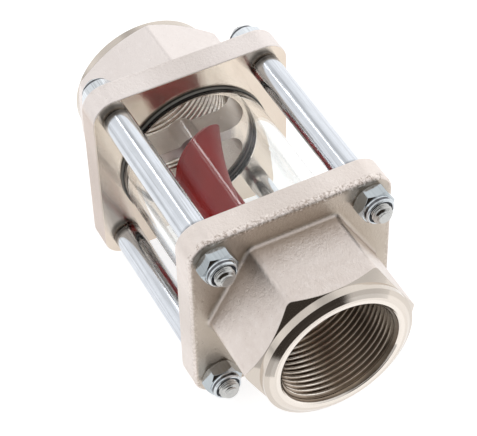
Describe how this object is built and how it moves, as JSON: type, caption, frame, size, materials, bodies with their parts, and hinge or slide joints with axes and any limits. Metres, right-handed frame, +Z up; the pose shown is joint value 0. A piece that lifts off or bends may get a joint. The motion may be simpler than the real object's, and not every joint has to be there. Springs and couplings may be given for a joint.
{
  "type": "impeller flow indicator",
  "caption": "Inline flow indicator: a free-spinning two-blade red rotor inside a glass tube clamped between two threaded metal fittings, to show liquid flow.",
  "frame": {"origin": "on the pipe axis, midway between the two socket end faces", "axes": "+X along the pipe axis toward the outlet fitting, +Y across to the side, +Z up; it lies on the lower edges of the two square flanges"},
  "size_m": [0.163, 0.0816, 0.0816],
  "materials": {
    "nickel": "satin nickel-plated cast brass",
    "glass": "clear polished",
    "seal_rubber": "matte",
    "steel": "ground",
    "rotor_plastic": "moulded, slightly shiny",
    "zinc_rod": "bright zinc plating",
    "zinc_nut": "zinc plating",
    "insert_nylon": "dark nylon"
  },
  "bodies": {
    "housing": {"inlet_body": "nickel", "outlet_body": "nickel", "sight_glass": "glass", "inlet_seal": "seal_rubber", "outlet_seal": "seal_rubber", "axle": "steel", "tie_rod_top_left": "zinc_rod", "tie_rod_top_right": "zinc_rod", "tie_rod_bottom_right": "zinc_rod", "tie_rod_bottom_left": "zinc_rod", "lock_nut_inlet_top_left": "zinc_nut", "lock_nut_inlet_top_right": "zinc_nut", "lock_nut_inlet_bottom_right": "zinc_nut", "lock_nut_inlet_bottom_left": "zinc_nut", "lock_nut_outlet_top_left": "zinc_nut", "lock_nut_outlet_top_right": "zinc_nut", "lock_nut_outlet_bottom_right": "zinc_nut", "lock_nut_outlet_bottom_left": "zinc_nut", "nut_insert_inlet_top_left": "insert_nylon", "nut_insert_inlet_top_right": "insert_nylon", "nut_insert_inlet_bottom_right": "insert_nylon", "nut_insert_inlet_bottom_left": "insert_nylon", "nut_insert_outlet_top_left": "insert_nylon", "nut_insert_outlet_top_right": "insert_nylon", "nut_insert_outlet_bottom_right": "insert_nylon", "nut_insert_outlet_bottom_left": "insert_nylon"},
    "spinner": {"rotor": "rotor_plastic"}
  },
  "joints": [
    {"name": "rotor_spin", "type": "hinge", "parent": "housing", "child": "spinner", "pos_m": [0, 0, 0], "axis": [1, 0, 0], "continuous": true}
  ]
}
